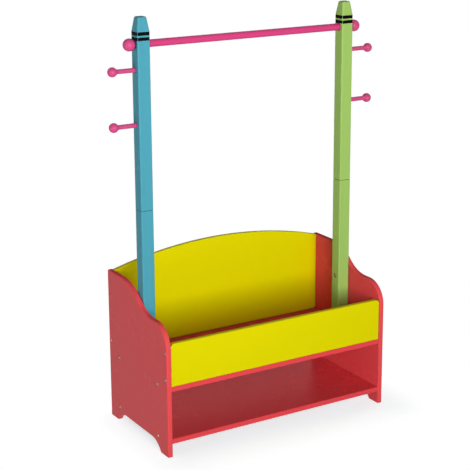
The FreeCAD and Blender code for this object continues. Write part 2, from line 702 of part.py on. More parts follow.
def left_peg(label, height):
    """A turned peg: round shaft that flares into a ball, with a hole for the stud."""
    body = new_body(label)
    sketch = new_sketch(body, "XY_Plane", (INNER_FACE, "0", height), turn=180)
    shaft, ball = number("peg_shaft_diameter / 2"), number("peg_ball_diameter / 2")
    cove, reach = number("peg_cove_radius"), number("peg_reach")
    hole, depth = number(PEG_STUD_HOLE_RADIUS), number(PEG_HOLE_DEPTH)
    middle = reach - ball
    run = math.sqrt((ball + cove) ** 2 - (shaft + cove) ** 2)
    flare = math.degrees(math.acos(run / (ball + cove)))
    edges = [
        line((0, hole), (0, shaft)),
        line((0, shaft), (middle - run, shaft)),
        arc((middle - run, shaft + cove), cove, -90, -flare),
        arc((middle, 0), ball, 0, 180 - flare),
        line((reach, 0), (depth, 0)),
        line((depth, 0), (depth, hole)),
        line((depth, hole), (0, hole)),
    ]
    face, shaft_line, cove_arc, ball_arc, axis_line, hole_end, hole_side = draw(sketch, edges)
    sketch.addConstraint(Sketcher.Constraint("PointOnObject", face, START, Y_AXIS))
    sketch.addConstraint(Sketcher.Constraint("PointOnObject", axis_line, START, X_AXIS))
    sketch.addConstraint(Sketcher.Constraint("PointOnObject", ball_arc, CENTRE, X_AXIS))
    size(sketch, "Radius", (ball_arc,), "peg_ball_diameter / 2")
    size(sketch, "Radius", (cove_arc,), "peg_cove_radius")
    size(sketch, "DistanceY", (*ORIGIN, face, END), "peg_shaft_diameter / 2")
    size(sketch, "DistanceX", (*ORIGIN, axis_line, START), "peg_reach")
    size(sketch, "DistanceY", (hole_end, START, hole_end, END), PEG_STUD_HOLE_RADIUS)
    size(sketch, "DistanceX", (hole_side, END, hole_side, START), PEG_HOLE_DEPTH)
    spin(body, sketch)
    return body


# Fasteners
def screw_steps(length):
    """Head and shank of a connecting screw."""
    return [("screw_head_height", "screw_head_diameter / 2"), (length, "screw_diameter / 2")]


def side_screws(label, places, pair=None):
    """Connecting screws through the side panels, heads let in but a little proud of the outer faces."""
    depth, height = places[0]
    return fasteners(label, "+X", (f"{OUTER_FACE} - screw_head_stand", depth, height),
                     screw_steps("screw_length"), pair=pair, with_socket=True)


def post_screws():
    """Screws through the posts into the side panels, with heads just below the posts' inner faces."""
    depth, height = POST_SCREWS[0]
    return fasteners("post_screws", "-X", (f"{POST_INNER_FACE} - post_screw_sink", depth, height),
                     screw_steps(f"{POST_SCREW_TIP} - {POST_HEAD_RECESS}"),
                     pair=("Z_Axis", f"{UPPER_POST_SCREW} - {LOWER_POST_SCREW}"), with_socket=True)


def back_panel_dowels():
    """Dowels between the side panels and the upper corners of the back panel."""
    depth, height = BACK_DOWELS[0]
    start = f"{INNER_FACE} - {DOWEL_SEAT_LENGTH}"
    return fasteners("back_panel_dowels", "+X", (start, depth, height), [DOWEL])


def foot_dowels(label, x, y):
    """Upright dowels in the box bottom."""
    return fasteners(label, "+Z", (x, y, f"{BOX_FLOOR} - {DOWEL_SEAT_LENGTH}"), [DOWEL])


def rail_studs():
    """Studs from the knobs through the posts into the rail's ends."""
    length = "knob_stud_depth + post_size + rail_stud_depth"
    return fasteners("rail_studs", "+X", (f"{INNER_FACE} - knob_stud_depth", "0", RAIL_HEIGHT),
                     [(length, "stud_diameter / 2")])


def rail_sleeves():
    """Threaded sleeves in the rail's ends."""
    return fasteners("rail_sleeves", "+X", (f"{POST_INNER_FACE} + sleeve_sink", "0", RAIL_HEIGHT),
                     [SLEEVE], bore=STUD_HOLE_RADIUS)


def peg_studs():
    """Studs that hold the pegs in the posts."""
    start = f"{INNER_FACE} - (peg_stud_length - peg_stud_seat)"
    return fasteners("peg_studs", "+X", (start, "0", LOWER_PEG_HEIGHT),
                     [("peg_stud_length", "peg_stud_diameter / 2")],
                     pair=("Z_Axis", "lower_peg_drop - upper_peg_drop"))


def post_joint_studs():
    """Studs across the joints of the posts."""
    start = "post_joint_height - joint_stud_length / 2"
    return fasteners("post_joint_studs", "+Z", (POST_AXIS, "0", start),
                     [("joint_stud_length", "stud_diameter / 2")])


def post_joint_sleeves():
    """Threaded sleeves in both sections of each post, a little below the joint's faces."""
    start = "post_joint_height - sleeve_sink - sleeve_length"
    return fasteners("post_joint_sleeves", "+Z", (POST_AXIS, "0", start), [SLEEVE],
                     bore=STUD_HOLE_RADIUS, pair=("Z_Axis", "sleeve_length + 2 * sleeve_sink"))


def build():
    """All pieces of the wardrobe."""
    left_pieces = [
        left_side_panel(),
        left_post_lower(),
        left_post_upper(),
        left_rail_knob(),
        left_peg("left_upper_peg", UPPER_PEG_HEIGHT),
        left_peg("left_lower_peg", LOWER_PEG_HEIGHT),
    ]
    right_pieces = [mirrored_copy(piece.Label.replace("left", "right"), piece) for piece in left_pieces]
    boards = [box_bottom(), flat_board("lower_shelf", "shelf_height", SHELF_SCREWS), box_front_panel(),
              box_back_panel()]
    hardware = [
        side_screws("front_panel_screws", FRONT_SCREWS, ("Z_Axis", "front_screw_spacing")),
        side_screws("back_panel_screws", BACK_SCREWS),
        side_screws("box_bottom_screws", BOX_BOTTOM_SCREWS, ("Y_Axis", "board_screw_spacing")),
        side_screws("shelf_screws", SHELF_SCREWS, ("Y_Axis", "board_screw_spacing")),
        post_screws(),
        back_panel_dowels(),
        foot_dowels("front_panel_dowels", "-front_dowel_spacing / 2", FRONT_PANEL_MIDDLE),
        foot_dowels("post_base_dowels", POST_AXIS, "0"),
        rail_studs(),
        rail_sleeves(),
        peg_studs(),
        post_joint_studs(),
        post_joint_sleeves(),
    ]
    return left_pieces + right_pieces + boards + [clothes_rail()] + hardware


def check(pieces):
    """Stop if a feature failed, a cut missed its piece or a shape isn't sound."""
    document.recompute()
    failed = [thing.Label for thing in document.Objects if {"Invalid", "Error"} & set(thing.State)]
    cutters = ("PartDesign::Groove", "PartDesign::Pocket")
    cuts = [thing for thing in document.Objects if thing.TypeId in cutters]
    missed = [cut.Label for cut in cuts if cut.Shape.Volume > cut.BaseFeature.Shape.Volume - TINY]
    unsound = [piece.Label for piece in pieces if piece.Shape.isNull() or not piece.Shape.isValid()]
    if failed or missed or unsound:
        raise RuntimeError(f"failed: {failed}, cut nothing: {missed}, not sound: {unsound}")


def write(pieces):
    """One file for each piece or group of like pieces."""
    os.makedirs("parts", exist_ok=True)
    for piece in pieces:
        piece.Shape.exportStep(f"parts/{piece.Label}.step")
        print(piece.Label, len(piece.Shape.Solids), round(piece.Shape.Volume))


all_pieces = build()
check(all_pieces)
write(all_pieces)
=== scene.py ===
import logging
import math
from dataclasses import dataclass, field
from enum import Enum

import bpy
import numpy as np
from mathutils import Matrix, Vector


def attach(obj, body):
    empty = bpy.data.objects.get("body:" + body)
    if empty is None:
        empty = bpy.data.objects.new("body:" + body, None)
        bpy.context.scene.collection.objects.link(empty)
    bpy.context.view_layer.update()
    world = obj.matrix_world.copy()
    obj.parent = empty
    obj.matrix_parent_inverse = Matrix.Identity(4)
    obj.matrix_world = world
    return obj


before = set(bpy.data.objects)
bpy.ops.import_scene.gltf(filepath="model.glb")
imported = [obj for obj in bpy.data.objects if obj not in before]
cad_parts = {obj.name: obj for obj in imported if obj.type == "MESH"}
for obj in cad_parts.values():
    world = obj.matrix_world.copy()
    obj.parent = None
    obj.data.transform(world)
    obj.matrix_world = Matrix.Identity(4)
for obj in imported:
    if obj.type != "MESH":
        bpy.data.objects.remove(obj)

log = logging.getLogger("wardrobe")

RGB = tuple[float, float, float]
Point = tuple[float, float, float]
Range = tuple[float, float]
Feed = float | tuple[float, ...] | bpy.types.NodeSocket

BODY = "root"
POST_FLATS = 4
FACE_CORNERS = 4
ORIGIN: Point = (0.0, 0.0, 0.0)
WHOLE: Range = (0.0, 1.0)
WHITE = (1.0, 1.0, 1.0, 1.0)


class Side(Enum):
    """The two ends of the wardrobe, with their sign along X."""

    LEFT = -1
    RIGHT = 1

    @property
    def word(self) -> str:
        """The side's name as the pieces carry it."""
        return self.name.lower()


class Grain(Enum):
    """How the wood's pores run: pattern scale along X, Y and Z, per metre."""

    ALONG_X = (5.0, 190.0, 190.0)
    ALONG_Y = (190.0, 5.0, 190.0)
    ALONG_Z = (190.0, 190.0, 5.0)
    PRESSED = (60.0, 60.0, 60.0)


class Effect(Enum):
    """The surface effects that several finishes share."""

    PEEL = "sprayed_peel"
    GRAIN = "wood_pores"
    EDGE = "edge_rub"
    CORNER = "corner_shade"
    CLOUD = "wiping_clouds"


class Socket(Enum):
    """What a group's input or output carries."""

    NUMBER = "NodeSocketFloat"
    VECTOR = "NodeSocketVector"


class Graph:
    """A node tree with short ways to add nodes and join them.

    Blender numbers the sockets of its mix node through all kinds, so the numbers that this
    class uses for plain numbers and for colours are given here.
    """

    MIX_FACTOR = 0
    MIX_NUMBERS = (2, 3)
    MIX_NUMBER_OUT = 0
    MIX_COLOURS = (6, 7)
    MIX_COLOUR_OUT = 2

    def __init__(self, tree: bpy.types.NodeTree) -> None:
        """Take a tree and empty it."""
        self.tree = tree
        tree.nodes.clear()

    def feed(self, node: bpy.types.Node, inputs: dict[str | int, Feed]) -> None:
        """Give a node its inputs.

        Args:
            node: the node that takes them.
            inputs: values to set or sockets to join, by the input's name or number.
        """
        for key, value in inputs.items():
            if isinstance(value, bpy.types.NodeSocket):
                self.tree.links.new(value, node.inputs[key])
            else:
                node.inputs[key].default_value = value

    def node(
        self, kind: str, inputs: dict[str | int, Feed] | None = None, **settings: object
    ) -> bpy.types.Node:
        """Add one node.

        Args:
            kind: Blender's name of the node type.
            inputs: values or sockets by the input's name or number.
            settings: properties of the node itself.
        Returns:
            The new node.
        """
        made = self.tree.nodes.new(kind)
        for name, value in settings.items():
            setattr(made, name, value)
        self.feed(made, inputs or {})
        return made

    def math(self, operation: str, a: Feed, b: Feed) -> bpy.types.NodeSocket:
        """Work out one sum on two numbers and return its socket."""
        return self.node("ShaderNodeMath", {0: a, 1: b}, operation=operation).outputs[0]

    def plus(self, base: Feed, mask: Feed, share: float) -> bpy.types.NodeSocket:
        """Add a share of a mask to a number and return the sum's socket."""
        return self.math("ADD", base, self.math("MULTIPLY", mask, share))

    def vector(
        self, operation: str, a: Feed, b: Feed = ORIGIN, result: str = "Vector"
    ) -> bpy.types.NodeSocket:
        """Work out one sum on two vectors and return its result's socket."""
        return self.node("ShaderNodeVectorMath", {0: a, 1: b}, operation=operation).outputs[result]

    def span(
        self, value: Feed, read: tuple[Feed, Feed], give: Range = WHOLE
    ) -> bpy.types.NodeSocket:
        """Carry a number from one range to another, held at both ends.

        Args:
            value: the number that is read.
            read: readings that give the first and the last result.
            give: the first and the last result.
        Returns:
            The result's socket.
        """
        inputs = {0: value, 1: read[0], 2: read[1], 3: give[0], 4: give[1]}
        return self.node("ShaderNodeMapRange", inputs, clamp=True).outputs[0]

    def level(self, factor: Feed, a: Feed, b: Feed) -> bpy.types.NodeSocket:
        """Blend two numbers by a factor and return the socket of the result."""
        inputs = dict(zip((self.MIX_FACTOR, *self.MIX_NUMBERS), (factor, a, b)))
        return self.node("ShaderNodeMix", inputs).outputs[self.MIX_NUMBER_OUT]

    def blend(self, factor: Feed, a: Feed, b: Feed) -> bpy.types.NodeSocket:
        """Blend two colours.

        Args:
            factor: 0 for the first colour, 1 for the second.
            a: the first colour, as three numbers or a socket.
            b: the second colour, likewise.
        Returns:
            The blended colour's socket.
        """
        a, b = ((*c, 1.0) if isinstance(c, tuple) else c for c in (a, b))
        inputs = dict(zip((self.MIX_FACTOR, *self.MIX_COLOURS), (factor, a, b)))
        return self.node("ShaderNodeMix", inputs, data_type="RGBA").outputs[self.MIX_COLOUR_OUT]

    def noise(
        self, where: Feed, scale: Feed, detail: float, rough: float
    ) -> bpy.types.NodeSocket:
        """Make cloudy noise, 0 to 1, at a scale per metre, and return its socket."""
        inputs = {"Vector": where, "Scale": scale, "Detail": detail, "Roughness": rough}
        return self.node("ShaderNodeTexNoise", inputs).outputs[0]

    def bump(
        self, depth: float, height: Feed, below: bpy.types.NodeSocket | None = None
    ) -> bpy.types.NodeSocket:
        """Raise a relief.

        Args:
            depth: its full depth in metres.
            height: how high it stands, 0 to 1.
            below: normal of the relief that it lies on, if there is one.
        Returns:
            The new normal's socket.
        """
        inputs = {"Distance": depth, "Height": height}
        if below is not None:
            inputs["Normal"] = below
        return self.node("ShaderNodeBump", inputs).outputs[0]

    def place(self) -> bpy.types.NodeSocket:
        """Position on the piece, in metres, in the shared frame."""
        return self.node("ShaderNodeTexCoord").outputs["Object"]

    def normal(self) -> bpy.types.NodeSocket:
        """Which way the surface faces."""
        return self.node("ShaderNodeNewGeometry").outputs["Normal"]

    def upright(self, vector: Feed) -> bpy.types.NodeSocket:
        """A vector's part along Z."""
        return self.node("ShaderNodeSeparateXYZ", {0: vector}).outputs["Z"]

    def eye(self) -> bpy.types.NodeSocket:
        """Tell what is seen from what only sends light.

        Returns:
            A socket that is 1 in plain view, in reflections and through glass, and else 0.
        """
        ray = self.node("ShaderNodeLightPath").outputs
        seen = self.math("MAXIMUM", ray["Is Camera Ray"], ray["Is Glossy Ray"])
        return self.math("MAXIMUM", seen, ray["Is Transmission Ray"])


@dataclass
class Effects:
    """The shared shader node groups, each built once and then placed in the finishes.

    Scales are per metre, and reaches and radii in metres. A range holds the two readings of a
    pattern between which its effect changes. The strength of the edge patches is its least and its
    most.
    """

    peel_scale: float = 600.0
    streak_range: Range = (0.3, 0.7)
    broad_scale: float = 0.21
    broad_share: float = 0.5
    tone_range: Range = (0.35, 0.65)
    edge_radius: float = 0.004
    edge_range: Range = (0.75, 0.995)
    rub_scale: float = 55.0
    rub_range: Range = (0.35, 0.65)
    rub_strength: Range = (0.35, 1.0)
    corner_reach: float = 0.008
    corner_full: float = 0.35
    corner_open: float = 0.95
    cloud_scale: float = 9.0
    cloud_range: Range = (0.3, 0.7)
    built: dict[Effect, bpy.types.NodeTree] = field(default_factory=dict)

    def group(self, effect: Effect) -> bpy.types.NodeTree:
        """Give an effect's group, building it at the first call.

        Args:
            effect: the effect that is wanted.
        Returns:
            Its node group.
        """
        makers = {
            Effect.PEEL: self._peel,
            Effect.GRAIN: self._pores,
            Effect.EDGE: self._edge,
            Effect.CORNER: self._corner,
            Effect.CLOUD: self._clouds,
        }
        if effect not in self.built:
            self.built[effect] = makers[effect]()
        return self.built[effect]

    def place(
        self, g: Graph, effect: Effect, inputs: dict[str, Feed] | None = None
    ) -> bpy.types.NodeOutputs:
        """Put an effect into a material with the finish's own values and return its outputs."""
        return g.node("ShaderNodeGroup", inputs, node_tree=self.group(effect)).outputs

    @staticmethod
    def _start(
        effect: Effect, inputs: dict[str, tuple[Socket, Feed]], outputs: tuple[str, ...]
    ) -> tuple[Graph, bpy.types.Node, bpy.types.Node]:
        """Open a new group.

        Args:
            effect: the effect, whose value names the group.
            inputs: kind and starting value by input name.
            outputs: names of the numbers that it puts out.
        Returns:
            The graph, the node that brings the inputs and the node that takes the outputs.
        """
        tree = bpy.data.node_groups.new(effect.value, "ShaderNodeTree")
        for key, (kind, value) in inputs.items():
            socket = tree.interface.new_socket(key, in_out="INPUT", socket_type=kind.value)
            socket.default_value = value
        for key in outputs:
            tree.interface.new_socket(key, in_out="OUTPUT", socket_type=Socket.NUMBER.value)
        graph = Graph(tree)
        return graph, graph.node("NodeGroupInput"), graph.node("NodeGroupOutput")

    def _peel(self) -> bpy.types.NodeTree:
        """Make sprayed lacquer's fine waviness, or the fine marks of turned metal.

        Returns:
            The group, which gives a height.
        """
        inputs = {"Scale": (Socket.NUMBER, self.peel_scale)}
        g, given, out = self._start(Effect.PEEL, inputs, ("Height",))
        waves = g.noise(g.place(), given.outputs["Scale"], detail=1.0, rough=0.4)
        g.feed(out, {"Height": waves})
        return g.tree

    def _pores(self) -> bpy.types.NodeTree:
        """Make wood pores that show through paint, as long streaks along the stretch.

        Returns:
            The group, which gives a height and a tone.
        """
        inputs = {"Stretch": (Socket.VECTOR, Grain.ALONG_Z.value)}
        g, given, out = self._start(Effect.GRAIN, inputs, ("Height", "Tone"))
        where = g.vector("MULTIPLY", g.place(), given.outputs["Stretch"])
        streaks = g.noise(where, 1.0, detail=4.0, rough=0.6)
        broad = g.noise(where, self.broad_scale, detail=2.0, rough=0.5)
        tone = g.level(self.broad_share, streaks, broad)
        height = g.span(streaks, self.streak_range)
        g.feed(out, {"Height": height, "Tone": g.span(tone, self.tone_range)})
        return g.tree

    def _edge(self) -> bpy.types.NodeTree:
        """Find edges where the surface turns within a radius, in patches: paled as wear and
        painted sheen.

        Returns:
            The group, which gives how much an edge is paled.
        """
        inputs = {"Radius": (Socket.NUMBER, self.edge_radius)}
        g, given, out = self._start(Effect.EDGE, inputs, ("Rub",))
        turned = g.node("ShaderNodeBevel", {"Radius": given.outputs["Radius"]}, samples=6)
        close = g.vector("DOT_PRODUCT", turned.outputs[0], g.normal(), "Value")
        bent = g.span(close, self.edge_range, (1.0, 0.0))
        patches = g.noise(g.place(), self.rub_scale, detail=3.0, rough=0.6)
        patchy = g.span(patches, self.rub_range, self.rub_strength)
        g.feed(out, {"Rub": g.math("MULTIPLY", bent, patchy)})
        return g.tree

    def _corner(self) -> bpy.types.NodeTree:
        """Find tight inner corners and joints, where light does not reach: painted shade darkens
        them.

        Returns:
            The group, which gives how deep in a corner a place is.
        """
        inputs = {
            "Reach": (Socket.NUMBER, self.corner_reach),
            "Full": (Socket.NUMBER, self.corner_full),
        }
        g, given, out = self._start(Effect.CORNER, inputs, ("Shade",))
        reach = {"Distance": given.outputs["Reach"]}
        free = g.node("ShaderNodeAmbientOcclusion", reach, samples=8).outputs["AO"]
        shade = g.span(free, (given.outputs["Full"], self.corner_open), (1.0, 0.0))
        g.feed(out, {"Shade": shade})
        return g.tree

    def _clouds(self) -> bpy.types.NodeTree:
        """Make broad uneven patches that wiping and handling leave in the gloss.

        Returns:
            The group, which gives the patches.
        """
        inputs = {"Scale": (Socket.NUMBER, self.cloud_scale)}
        g, given, out = self._start(Effect.CLOUD, inputs, ("Cloud",))
        cloud = g.noise(g.place(), given.outputs["Scale"], detail=4.0, rough=0.55)
        g.feed(out, {"Cloud": g.span(cloud, self.cloud_range)})
        return g.tree


def start_material(name: str) -> tuple[bpy.types.Material, Graph, bpy.types.Node]:
    """Open a new material with a surface shader joined to its output.

    Args:
        name: the material's name.
    Returns:
        The material, its graph and its surface shader.
    """
    material = bpy.data.materials.new(name)
    material.use_nodes = True
    graph = Graph(material.node_tree)
    shader = graph.node("ShaderNodeBsdfPrincipled")
    graph.node("ShaderNodeOutputMaterial", {"Surface": shader.outputs[0]})
    return material, graph, shader


def dimmed(colour: RGB, share: float) -> RGB:
    """The same colour with only a share of its light."""
    return tuple(part * share for part in colour)


@dataclass(frozen=True)
class Lacquer:
    """Sprayed satin lacquer on board or beech.

    The colour is paler on edges, partly as wear and partly as painted sheen, and darker in
    corners as painted shade. The gloss is cloudy, and the surface carries fine spray waves with
    a trace of the wood below. Faces that look up are more matt where the end roughness is set.
    """

    name: str
    colour: RGB
    edge_wear_and_sheen_colour: RGB
    grain: Grain = Grain.PRESSED
    pore_depth: float = 0.00001
    peel_depth: float = 0.00002
    roughness: float = 0.26
    gloss_change: float = 0.06
    shine: float = 0.16
    tone_change: float = 0.02
    rub_share: float = 0.35
    corner_shade_depth: float = 0.3
    corner_shade_tone: float = 0.3
    corner_reach: float = 0.008
    corner_roughness: float = 0.12
    end_roughness: float = 0.0
    end_range: Range = (0.35, 0.85)

    def material(self, effects: Effects) -> bpy.types.Material:
        """Make the finish.

        Args:
            effects: the shared node groups.
        Returns:
            The material.
        """
        made, g, shader = start_material(self.name)
        peel = effects.place(g, Effect.PEEL)
        pores = effects.place(g, Effect.GRAIN, {"Stretch": self.grain.value})
        edge = effects.place(g, Effect.EDGE)
        corner = effects.place(g, Effect.CORNER, {"Reach": self.corner_reach})
        cloud = effects.place(g, Effect.CLOUD)
        body = g.blend(pores["Tone"], dimmed(self.colour, 1.0 - self.tone_change), self.colour)
        # Paler edges: partly wear, partly painted sheen.
        wear_and_sheen = g.math("MULTIPLY", edge["Rub"], self.rub_share)
        body = g.blend(wear_and_sheen, body, self.edge_wear_and_sheen_colour)
        # Painted shade: the colour darkens in corners and joints by occlusion.
        shade = g.math("MULTIPLY", corner["Shade"], self.corner_shade_depth)
        body = g.blend(shade, body, dimmed(self.colour, self.corner_shade_tone))
        smoothest = self.roughness - 0.5 * self.gloss_change
        rough = g.plus(smoothest, cloud["Cloud"], self.gloss_change)
        rough = g.plus(rough, corner["Shade"], self.corner_roughness)
        if self.end_roughness:
            facing = g.upright(g.normal())
            rough = g.math("ADD", rough, g.span(facing, self.end_range, (0.0, self.end_roughness)))
        wood = g.bump(self.pore_depth, pores["Height"])
        skin = g.bump(self.peel_depth, peel["Height"], wood)
        g.feed(shader, {"Base Color": body, "Roughness": rough, "Normal": skin})
        g.feed(shader, {"Specular IOR Level": self.shine})
        return made


@dataclass(frozen=True)
class Metal:
    """Plated or plain metal with fine turning marks, and a tone in sockets and corners: painted
    shade where it is dark.
    """

    name: str
    colour: RGB
    dull_colour: RGB
    corner_colour: RGB
    corner_reach: float = 0.0015
    corner_full: float = 0.35
    corner_share: float = 0.85
    roughness: float = 0.32
    dull_roughness: float = 0.15
    cloud_scale: float = 240.0
    mark_scale: float = 2600.0
    mark_depth: float = 0.000012

    def material(self, effects: Effects) -> bpy.types.Material:
        """Make the finish.

        Args:
            effects: the shared node groups.
        Returns:
            The material.
        """
        made, g, shader = start_material(self.name)
        cloud = effects.place(g, Effect.CLOUD, {"Scale": self.cloud_scale})
        tight = {"Reach": self.corner_reach, "Full": self.corner_full}
        corner = effects.place(g, Effect.CORNER, tight)
        marks = effects.place(g, Effect.PEEL, {"Scale": self.mark_scale})
        body = g.blend(cloud["Cloud"], self.colour, self.dull_colour)
        # Blend in the corner tone by occlusion: painted shade on the studs and sleeves, pale
        # copper in the screws' sockets.
        shade = g.math("MULTIPLY", corner["Shade"], self.corner_share)
        body = g.blend(shade, body, self.corner_colour)
        rough = g.plus(self.roughness, cloud["Cloud"], self.dull_roughness)
        skin = g.bump(self.mark_depth, marks["Height"])
        g.feed(shader, {"Base Color": body, "Roughness": rough, "Normal": skin})
        g.feed(shader, {"Metallic": 1.0})
        return made


@dataclass(frozen=True)
class RawWood:
    """Bare beech with short dark flecks along the grain."""

    name: str
    colour: RGB
    fleck_colour: RGB
    grain: Grain
    fineness: float = 4.0
    roughness: float = 0.62
    pale_roughness: float = 0.1
    pore_depth: float = 0.00006

    def material(self, effects: Effects) -> bpy.types.Material:
        """Make the finish.

        Args:
            effects: the shared node groups.
        Returns:
            The material.
        """
        made, g, shader = start_material(self.name)
        stretch = tuple(self.fineness * scale for scale in self.grain.value)
        pores = effects.place(g, Effect.GRAIN, {"Stretch": stretch})
        body = g.blend(pores["Tone"], self.fleck_colour, self.colour)
        rough = g.plus(self.roughness, pores["Tone"], self.pale_roughness)
        skin = g.bump(self.pore_depth, pores["Height"])
        g.feed(shader, {"Base Color": body, "Roughness": rough, "Normal": skin})
        return made


Finish = Lacquer | Metal | RawWood


def post_lacquer(name: str, colour: RGB, edge_wear_and_sheen_colour: RGB) -> Lacquer:
    """Lacquer for a solid post: upright grain, painted shade at each joint and in corners, and a
    matt tip.

    Args:
        name: the finish's name.
        colour: its colour on the flats.
        edge_wear_and_sheen_colour: its colour on edges, paler as wear and as painted sheen.
    Returns:
        The finish.
    """
    return Lacquer(
        name,
        colour,
        edge_wear_and_sheen_colour,
        Grain.ALONG_Z,
        shine=0.05,
        tone_change=0.05,
        corner_shade_depth=1.0,
        corner_shade_tone=0.12,
        corner_reach=0.003,
        end_roughness=0.4,
    )


# Paler red on the edges, for wear and painted sheen.
WORN_AND_SHEEN_RED: RGB = (0.84, 0.14, 0.15)
RED = Lacquer(
    "red_satin_lacquer", (0.77, 0.072, 0.081), WORN_AND_SHEEN_RED, shine=0.07, end_roughness=0.5
)
SHELF_RED = Lacquer("red_shelf_lacquer", (0.755, 0.0625, 0.0745), WORN_AND_SHEEN_RED, shine=0.03)
YELLOW = Lacquer(
    "yellow_satin_lacquer", (0.695, 0.63, 0.0), (0.78, 0.71, 0.03), shine=0.05, roughness=0.4
)
BLUE = post_lacquer("blue_satin_lacquer", (0.072, 0.33, 0.42), (0.15, 0.45, 0.56))
GREEN = post_lacquer("green_satin_lacquer", (0.322, 0.516, 0.124), (0.42, 0.62, 0.21))
PINK = Lacquer(
    "pink_satin_lacquer",
    (0.61, 0.046, 0.186),
    (0.74, 0.14, 0.32),
    Grain.ALONG_X,
    shine=0.15,
    roughness=0.28,
    corner_shade_depth=0.8,
)
# Paler than the rail's pink: painted sheen on the knobs and pegs in place of white reflection.
PAINTED_SHEEN_PINK = Lacquer(
    "pink_knob_lacquer",
    (0.59, 0.066, 0.21),
    (0.72, 0.16, 0.34),
    shine=0.13,
    roughness=0.32,
    corner_shade_depth=0.8,
)
BLACK = Lacquer(
    "black_band_lacquer",
    (0.002, 0.002, 0.0025),
    (0.006, 0.006, 0.007),
    shine=0.03,
    roughness=0.5,
    corner_shade_depth=0.2,
)
ZINC = Metal(
    "dull_zinc_plate",
    (0.21, 0.085, 0.07),
    (0.14, 0.055, 0.045),
    (0.97, 0.58, 0.50),
    corner_reach=0.008,
    corner_full=0.7,
    roughness=0.4,
)
# The studs and sleeves darken in corners: painted shade.
STEEL = Metal("stud_steel", (0.56, 0.56, 0.58), (0.40, 0.40, 0.42), (0.05, 0.05, 0.05))
BRASS = Metal("sleeve_brass", (0.74, 0.55, 0.25), (0.55, 0.38, 0.16), (0.07, 0.05, 0.02))
BEECH = RawWood("bare_beech", (0.62, 0.42, 0.25), (0.40, 0.24, 0.12), Grain.ALONG_Y)


@dataclass
class Paintbox:
    """Makes each finish once and puts it on pieces."""

    effects: Effects = field(default_factory=Effects)
    made: dict[str, bpy.types.Material] = field(default_factory=dict)

    def of(self, finish: Finish) -> bpy.types.Material:
        """Give a finish's material, making it at the first call.

        Args:
            finish: the finish that is wanted.
        Returns:
            Its material.
        """
        if finish.name not in self.made:
            self.made[finish.name] = finish.material(self.effects)
        return self.made[finish.name]

    def dress(self, node: str, finish: Finish) -> None:
        """Put a finish on a node of the frame.

        Args:
            node: the node's name.
            finish: what it is painted or plated with.
        """
        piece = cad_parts[node]
        material = self.of(finish)
        if not piece.material_slots:
            piece.data.materials.append(material)
        for slot in piece.material_slots:
            slot.material = material
        log.info("dressed %s with %s", node, finish.name)


def quad_grid(index: np.ndarray, flip: bool = False) -> np.ndarray:
    """List a grid's four-sided faces.

    Args:
        index: vertex number of each grid point, by its two parameters.
        flip: True to turn the faces round.
    Returns:
        Vertex numbers, four to a face.
    """
    a, b = index[:-1, :-1], index[1:, :-1]
    c, d = index[1:, 1:], index[:-1, 1:]
    order = (a, d, c, b) if flip else (a, b, c, d)
    return np.stack(order, -1).reshape(-1, FACE_CORNERS)


def make_mesh(name: str, points: np.ndarray, faces: np.ndarray) -> bpy.types.Object:
    """Put points and four-sided faces into a new smooth object.

    Args:
        name: the piece's name.
        points: positions in metres, of shape (n, 3).
        faces: vertex numbers, of shape (m, 4).
    Returns:
        The object, linked to the scene.
    """
    mesh = bpy.data.meshes.new(name)
    mesh.vertices.add(len(points))
    mesh.vertices.foreach_set("co", points.astype(np.float32).ravel())
    mesh.loops.add(faces.size)
    mesh.loops.foreach_set("vertex_index", faces.astype(np.int32).ravel())
    mesh.polygons.add(len(faces))
    starts = np.arange(0, faces.size, FACE_CORNERS, dtype=np.int32)
    mesh.polygons.foreach_set("loop_start", starts)
    mesh.polygons.foreach_set("use_smooth", np.ones(len(faces), dtype=bool))
    mesh.update(calc_edges=True)
    mesh.validate()
    made = bpy.data.objects.new(name, mesh)
    bpy.context.scene.collection.objects.link(made)
    return made


@dataclass
class Cabinet:
    """The low box: two shaped sides, floor, shelf, and the front and back panels."""

    paint: Paintbox
    sides: tuple[str, ...] = ("left_side_panel", "right_side_panel")
    boards: tuple[str, ...] = ("box_bottom", "lower_shelf")
    panels: tuple[str, ...] = ("box_front_panel", "box_back_panel")

    def dress(self) -> None:
        """Lacquer the box, red but for its two yellow panels."""
        for nodes, finish in ((self.sides, RED), (self.boards, SHELF_RED), (self.panels, YELLOW)):
            for node in nodes:
                self.paint.dress(node, finish)


